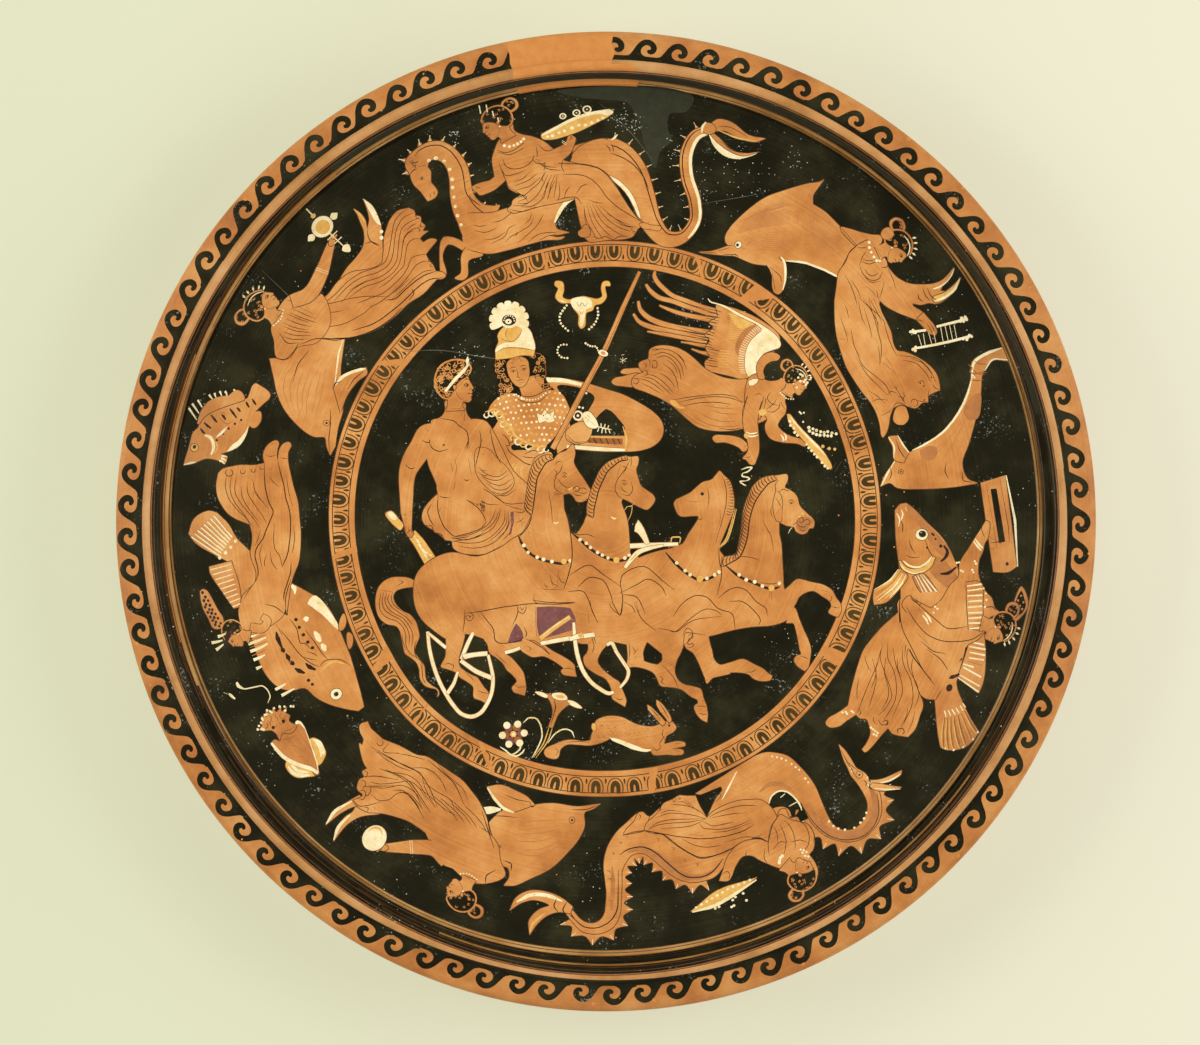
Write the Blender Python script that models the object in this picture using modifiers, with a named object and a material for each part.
"""A large shallow pottery plate on a ring foot, thrown on the wheel as one piece of fired clay.

Run it with: blender --background --python part.py
Units are metres and +Z is up. The plate stands on its ring foot, with the origin in the middle of
the plane that it stands on. The painted surface is colour alone, so the solid carries no picture:
it has the turned shapes only, which are the dished floor, the bead round it, the hollow wall,
the groove, the ridge, the drooping lip and the moulded foot.
"""

import math

import bpy

# The lip, ridge and wall, from the edge of the plate inwards
PLATE_RADIUS = 0.350
LIP_WIDTH = 0.0205
LIP_THICKNESS = 0.011
LIP_DROOP = 0.0020
LIP_NOSE = 0.0045
RIDGE_WIDTH = 0.0083
RIDGE_HEIGHT = 0.0030
GROOVE_WIDTH = 0.0018
GROOVE_DEPTH = 0.0008
WALL_WIDTH = 0.0058
WALL_DEPTH = 0.0210
WALL_THICKNESS = 0.0095
BEAD_WIDTH = 0.0045
BEAD_HEIGHT = 0.0009

# The floor of the plate
FLOOR_THICKNESS = 0.012
FLOOR_DISH = 0.008

# The ring foot under the floor
FOOT_RADIUS = 0.152
FOOT_HEIGHT = 0.034
FOOT_BASE_WIDTH = 0.013
FOOT_NECK_WIDTH = 0.010
FOOT_ROLL_HEIGHT = 0.013
FOOT_ROLL_BULGE = 0.0045
FOOT_INNER_SLOPE = 0.004

# How finely the turned outline and the full turn are cut into flat faces
TURN_STEPS = 84
FLOOR_STEPS = 4
BEAD_STEPS = 4
WALL_STEPS = 6
RIDGE_STEPS = 6
NOSE_STEPS = 4
SHOULDER_STEPS = 5
SHOULDER_START = -20
UNDERSIDE_STEPS = 4
FOOT_STEPS = 5
SCREW_MERGE = 0.0001

CLAY_COLOUR = (0.58, 0.25, 0.09, 1.0)
CLAY_ROUGHNESS = 0.55


def ridge_outer_radius():
    """Where the flat lip meets the ridge."""
    return PLATE_RADIUS - LIP_WIDTH


def ridge_inner_radius():
    """Where the ridge meets the groove inside it."""
    return ridge_outer_radius() - RIDGE_WIDTH


def wall_top_radius():
    """Where the groove ends and the hollow wall starts down."""
    return ridge_inner_radius() - GROOVE_WIDTH


def wall_foot_radius():
    """Where the wall ends, at the outer side of the bead."""
    return wall_top_radius() - WALL_WIDTH


def floor_radius():
    """The edge of the floor, at the inner side of the bead."""
    return wall_foot_radius() - BEAD_WIDTH


def dish(radius):
    """How far the floor has risen above its lowest point at a radius."""
    return FLOOR_DISH * (radius / floor_radius()) ** 2


def underside_height(radius):
    """The height of the floor's underside, which stands on the foot at the foot's height."""
    return FOOT_HEIGHT + dish(radius) - dish(FOOT_RADIUS)


def floor_height(radius):
    """The height of the floor's upper face."""
    return underside_height(radius) + FLOOR_THICKNESS


def lip_height():
    """The height of the lip at its inner side, beside the ridge."""
    return floor_height(floor_radius()) + WALL_DEPTH


def arc(centre, half_width, height, start, end, steps):
    """Points on an elliptical arc in the turned outline's plane, angles in degrees."""
    points = []
    for step in range(steps + 1):
        angle = math.radians(start + (end - start) * step / steps)
        points.append((
            centre[0] + half_width * math.cos(angle),
            centre[1] + height * math.sin(angle),
        ))
    return points


def floor_outline():
    """The dished floor, from the axis outwards."""
    points = []
    for step in range(FLOOR_STEPS + 1):
        radius = floor_radius() * step / FLOOR_STEPS
        points.append((radius, floor_height(radius)))
    return points


def bead_outline():
    """The low half-round bead that the floor ends in."""
    centre = ((floor_radius() + wall_foot_radius()) / 2, floor_height(floor_radius()))
    return arc(centre, BEAD_WIDTH / 2, BEAD_HEIGHT, 180, 0, BEAD_STEPS)[1:]


def wall_centre():
    """The centre that the wall's hollow and the shoulder outside it are both struck from."""
    return (wall_foot_radius(), lip_height() - GROOVE_DEPTH)


def wall_fall():
    """How far the wall's hollow falls from the groove to the floor."""
    return wall_centre()[1] - floor_height(floor_radius())


def wall_outline():
    """The hollow wall that rises from the bead to the groove, steeper towards the top."""
    return arc(wall_centre(), WALL_WIDTH, wall_fall(), -90, 0, WALL_STEPS)[1:]


def ridge_outline():
    """The groove's rise and the half-round ridge between the wall and the lip."""
    centre = ((ridge_inner_radius() + ridge_outer_radius()) / 2, lip_height())
    return arc(centre, RIDGE_WIDTH / 2, RIDGE_HEIGHT, 180, 0, RIDGE_STEPS)


def lip_outline():
    """The lip's slightly drooping top, its rounded nose and its underside."""
    nose_radius = PLATE_RADIUS - LIP_NOSE
    nose_centre = (nose_radius, lip_height() - LIP_DROOP - LIP_THICKNESS / 2)
    nose = arc(nose_centre, LIP_NOSE, LIP_THICKNESS / 2, 90, -90, 2 * NOSE_STEPS)
    return nose + [(ridge_outer_radius(), lip_height() - LIP_THICKNESS)]


def shoulder_outline():
    """The rounded shoulder under the lip, which keeps the wall's thickness down to the floor."""
    half_width = WALL_WIDTH + WALL_THICKNESS
    height = wall_fall() + FLOOR_THICKNESS
    return arc(wall_centre(), half_width, height, SHOULDER_START, -90, SHOULDER_STEPS)


def underside_outline():
    """The underside of the floor, from the shoulder in to the foot."""
    points = []
    for step in range(UNDERSIDE_STEPS + 1):
        radius = floor_radius() + (FOOT_RADIUS - floor_radius()) * step / UNDERSIDE_STEPS
        points.append((radius, underside_height(radius)))
    return points


def foot_outline():
    """The hollowed neck of the foot, its rolled base, the ring it stands on and its inner side."""
    neck_radius = FOOT_RADIUS - FOOT_NECK_WIDTH
    neck_height = FOOT_HEIGHT - FOOT_ROLL_HEIGHT
    neck = arc(
        (FOOT_RADIUS, FOOT_ROLL_HEIGHT),
        FOOT_NECK_WIDTH,
        neck_height,
        90,
        180,
        FOOT_STEPS,
    )[1:]
    roll_centre = (neck_radius, FOOT_ROLL_HEIGHT / 2)
    roll = arc(
        roll_centre,
        FOOT_NECK_WIDTH + FOOT_ROLL_BULGE,
        FOOT_ROLL_HEIGHT / 2,
        75,
        -90,
        FOOT_STEPS,
    )
    inner_base = neck_radius - FOOT_BASE_WIDTH
    inner_top = inner_base - FOOT_INNER_SLOPE
    return neck + roll + [(inner_base, 0.0), (inner_top, underside_height(inner_top))]


def recess_outline():
    """The underside of the floor inside the foot, in to the axis."""
    outer = FOOT_RADIUS - FOOT_NECK_WIDTH - FOOT_BASE_WIDTH - FOOT_INNER_SLOPE
    return [(outer / 2, underside_height(outer / 2)), (0.0, underside_height(0.0))]


def turned_outline():
    """The whole outline, from the axis out over the top and back in underneath."""
    return (
        floor_outline()
        + bead_outline()
        + wall_outline()
        + ridge_outline()
        + lip_outline()
        + shoulder_outline()
        + underside_outline()
        + foot_outline()
        + recess_outline()
    )


def clay_material():
    """Fired orange clay, the colour of the bare body."""
    material = bpy.data.materials.new("fired_clay")
    material.use_nodes = True
    shader = material.node_tree.nodes["Principled BSDF"]
    shader.inputs["Base Color"].default_value = CLAY_COLOUR
    shader.inputs["Roughness"].default_value = CLAY_ROUGHNESS
    shader.inputs["Metallic"].default_value = 0.0
    return material


def turned_body(name, outline, collection):
    """An outline in the XZ plane, turned once round Z."""
    mesh = bpy.data.meshes.new(name)
    points = [(radius, 0.0, height) for radius, height in outline]
    edges = [(index, index + 1) for index in range(len(points) - 1)]
    mesh.from_pydata(points, edges, [])
    body = bpy.data.objects.new(name, mesh)
    collection.objects.link(body)
    turn = body.modifiers.new("turn", "SCREW")
    turn.axis = "Z"
    turn.angle = math.radians(360)
    turn.steps = TURN_STEPS
    turn.render_steps = TURN_STEPS
    turn.use_merge_vertices = True
    turn.merge_threshold = SCREW_MERGE
    turn.use_smooth_shade = True
    mesh.materials.append(clay_material())
    return body


def main():
    for old in list(bpy.data.objects):
        bpy.data.objects.remove(old)
    collection = bpy.data.collections.new("pottery_plate")
    bpy.context.scene.collection.children.link(collection)
    turned_body("plate", turned_outline(), collection)


main()
